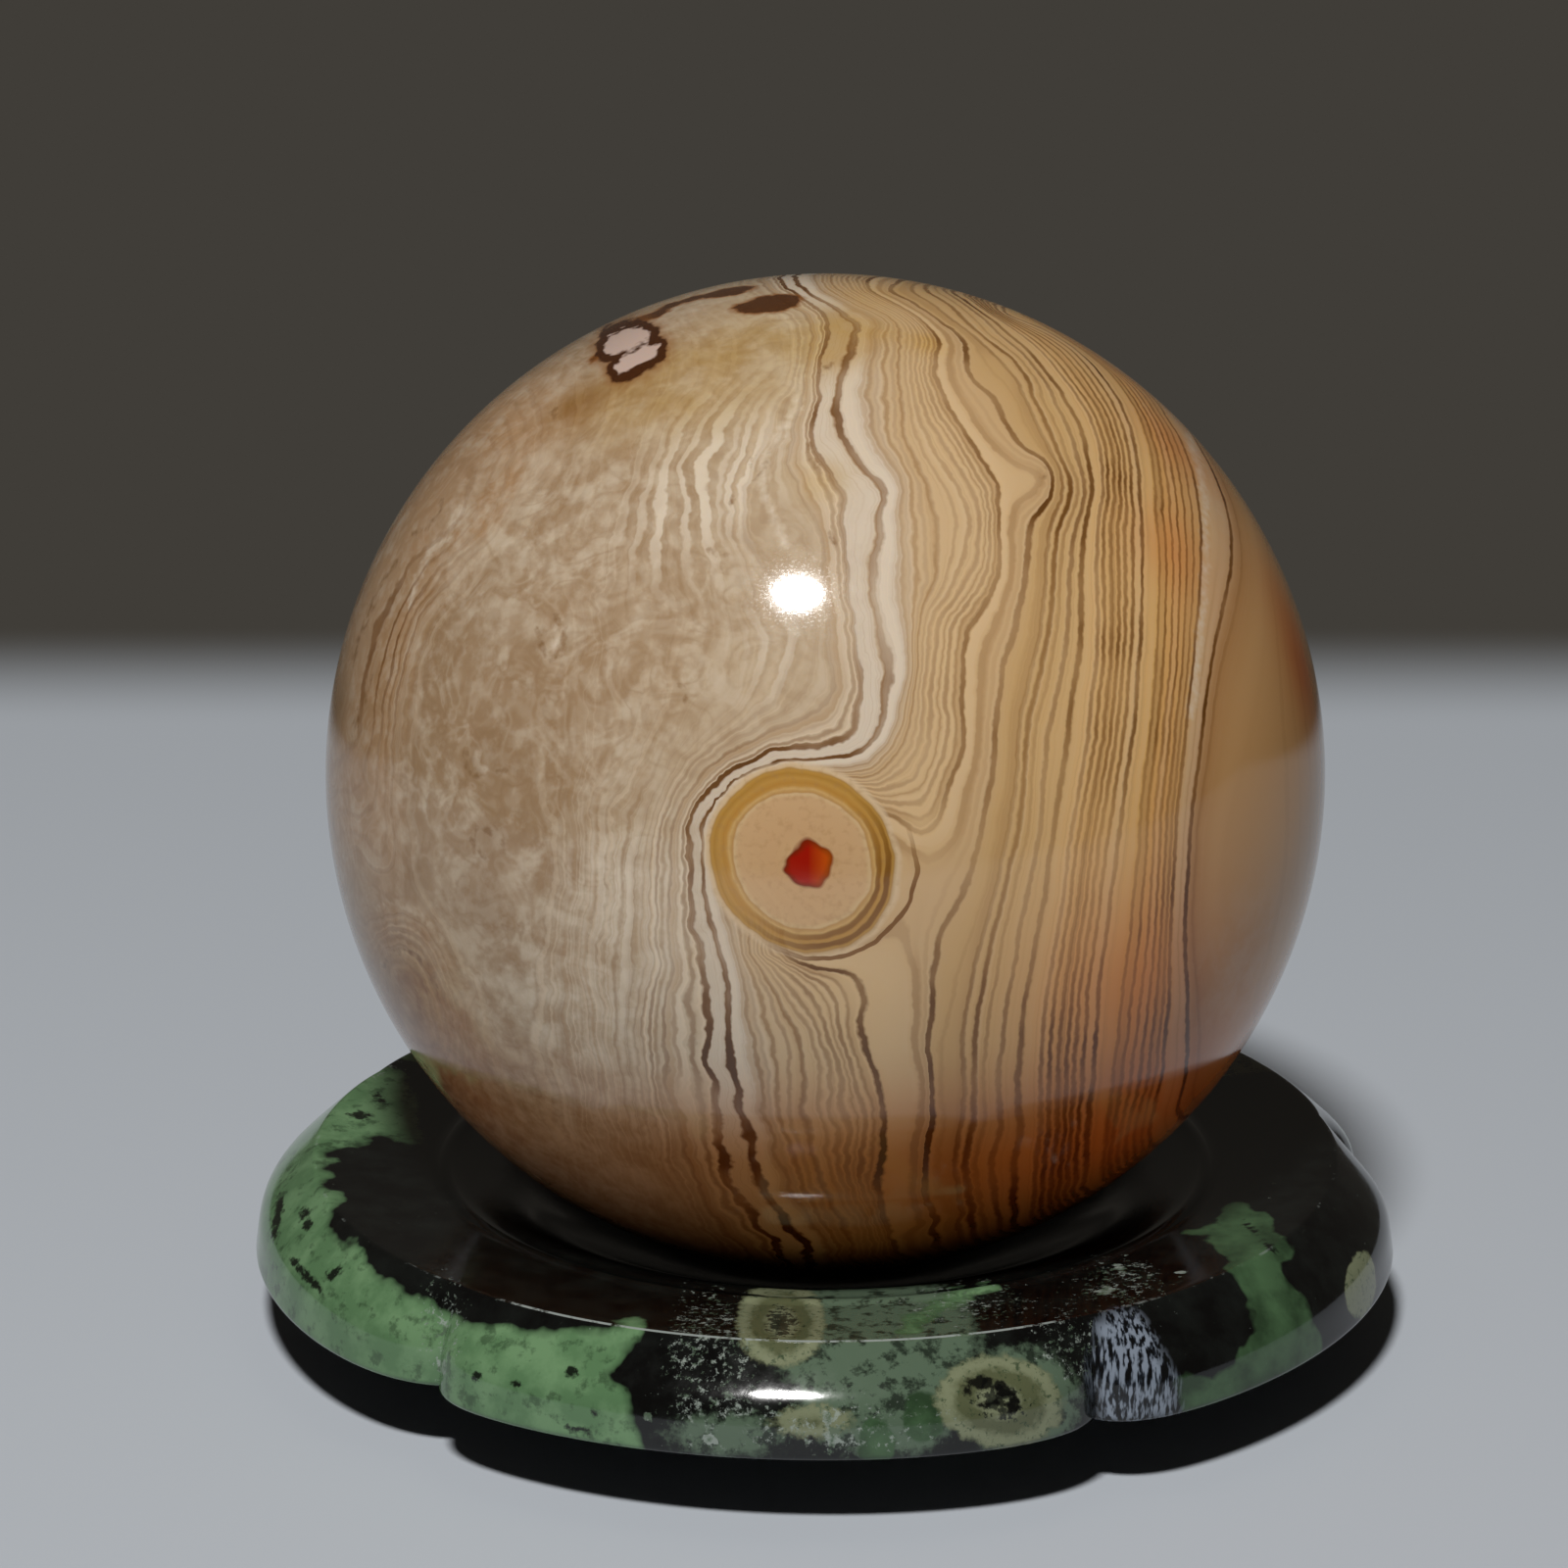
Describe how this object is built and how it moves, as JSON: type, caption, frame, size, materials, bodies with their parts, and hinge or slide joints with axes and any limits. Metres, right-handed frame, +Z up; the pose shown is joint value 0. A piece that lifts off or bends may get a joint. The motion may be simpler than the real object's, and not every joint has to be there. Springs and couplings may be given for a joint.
{
  "type": "agate sphere",
  "caption": "Polished banded agate ball resting loose in a shallow lobed dish stand carved from dark green and black stone.",
  "frame": {"origin": "middle of the flat face under the stand's foot, on the surface that it rests on", "axes": "+Z up through the middle of the dish and of the ball; the side shown in the picture faces -Y, and +X is to its right"},
  "size_m": [0.0695, 0.0697, 0.0644],
  "materials": {
    "agate": "polished to a high gloss, fine brown and white bands in tan chalcedony",
    "dark_stone": "polished, near-black with green patches and round green spots"
  },
  "bodies": {
    "root": {"agate_sphere": "agate", "lobed_stand": "dark_stone"}
  },
  "joints": []
}
